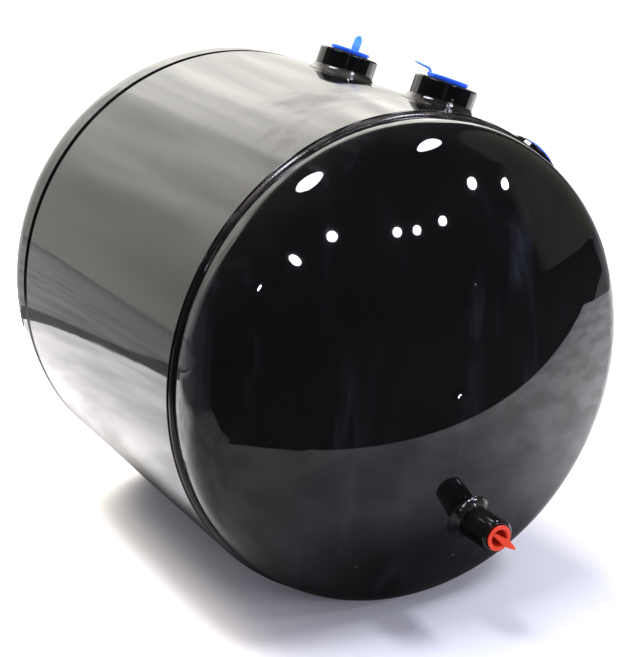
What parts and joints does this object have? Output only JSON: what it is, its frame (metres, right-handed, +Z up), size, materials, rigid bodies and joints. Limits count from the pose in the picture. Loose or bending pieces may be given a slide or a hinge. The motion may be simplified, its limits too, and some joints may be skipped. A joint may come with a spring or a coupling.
{
  "type": "horizontal pressure tank",
  "caption": "Small horizontal steel pressure tank with dished heads lap-welded into a rolled shell, welded threaded ports, and push-in plugs closing the ports.",
  "frame": {"origin": "on the floor under the middle of the tank's length and width", "axes": "+Z up, the front head faces -Y along the tank's axis, +X to the right seen from the front"},
  "size_m": [0.3048, 0.4064, 0.3213],
  "materials": {
    "shell_paint": "gloss black paint over rolled steel",
    "head_paint": "gloss black paint over pressed steel",
    "weld_paint": "gloss black paint over weld bead",
    "port_paint": "gloss black paint over turned steel",
    "blue_plastic": "moulded polyethylene",
    "red_plastic": "moulded polyethylene"
  },
  "bodies": {
    "root": {"shell": "shell_paint", "shell_seam_weld": "weld_paint", "front_head": "head_paint", "rear_head": "head_paint", "front_girth_weld": "weld_paint", "rear_girth_weld": "weld_paint", "top_rear_port": "port_paint", "top_front_port": "port_paint", "side_port": "port_paint", "front_drain": "port_paint", "rear_drain": "port_paint", "top_rear_port_weld": "weld_paint", "top_front_port_weld": "weld_paint", "side_port_weld": "weld_paint", "front_drain_weld": "weld_paint", "rear_drain_weld": "weld_paint", "top_rear_plug": "blue_plastic", "top_front_plug": "blue_plastic", "side_plug": "blue_plastic", "front_drain_plug": "red_plastic", "rear_drain_plug": "red_plastic"}
  },
  "joints": []
}
